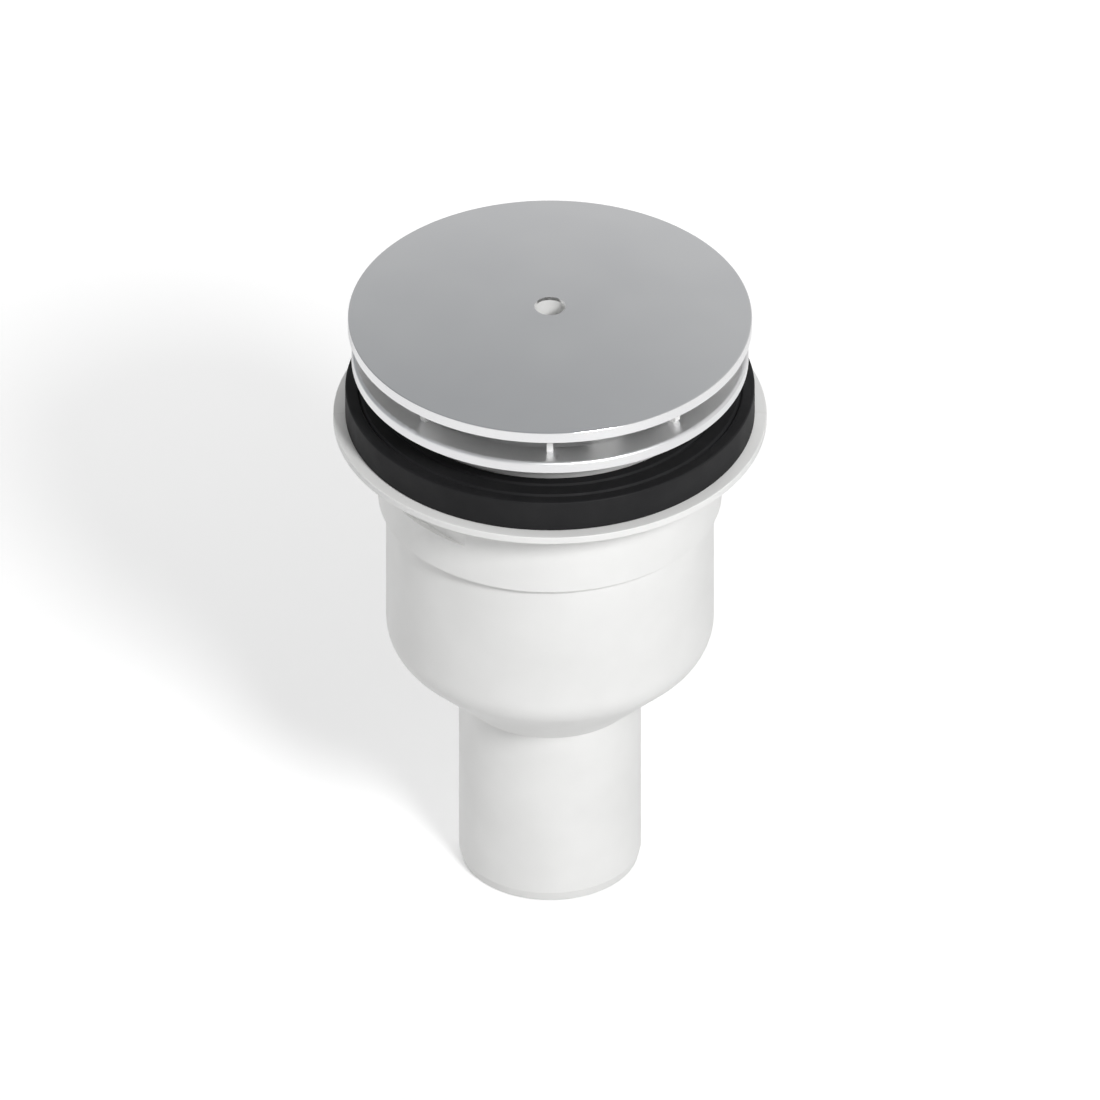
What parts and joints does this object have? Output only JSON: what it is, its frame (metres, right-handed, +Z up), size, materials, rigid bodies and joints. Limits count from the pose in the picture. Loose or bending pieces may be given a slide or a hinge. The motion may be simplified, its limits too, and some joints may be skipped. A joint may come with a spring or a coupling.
{
  "type": "shower waste",
  "caption": "Vertical shower waste: domed cover over a screwed flange that clamps the tray on a thick gasket, with a removable cup trap in a funnel body.",
  "frame": {"origin": "centre of the outlet spigot's open end, on the surface that the part stands on", "axes": "+Z up along the waste's axis, -Y towards the front of the drawing, +X to its right"},
  "size_m": [0.119, 0.119, 0.1824],
  "materials": {
    "body_plastic": "white moulded polypropylene, satin",
    "gasket_rubber": "black moulded rubber",
    "seal_rubber": "black rubber",
    "neck_plastic": "white moulded plastic",
    "dish_steel": "bright pressed stainless steel",
    "insert_plastic": "pale grey moulded polypropylene",
    "sieve_plastic": "grey moulded polypropylene",
    "carrier_plastic": "white moulded plastic",
    "cover_steel": "bright pressed stainless steel"
  },
  "bodies": {
    "trap_body": {"trap_body": "body_plastic", "tray_gasket": "gasket_rubber"},
    "flange_seal": {"flange_seal": "seal_rubber"},
    "upper_flange": {"flange_neck": "neck_plastic", "flange_dish": "dish_steel", "dip_tube": "insert_plastic", "insert_ring": "seal_rubber", "trap_cup": "insert_plastic", "hair_sieve": "sieve_plastic", "cover_carrier": "carrier_plastic", "cover_plate": "cover_steel"}
  },
  "joints": [
    {"name": "clamp_travel", "type": "slide", "parent": "trap_body", "child": "flange_seal", "axis": [0, 0, 1], "range_m": [-0.006, 0.009]},
    {"name": "flange_screw", "type": "hinge", "parent": "flange_seal", "child": "upper_flange", "pos_m": [0, 0, 0.1648], "axis": [0, 0, 1], "range_deg": [-720, 1080]}
  ],
  "couplings": [
    {"joint": "clamp_travel", "follows": "flange_screw", "m_per_rad": 0.00047746}
  ]
}
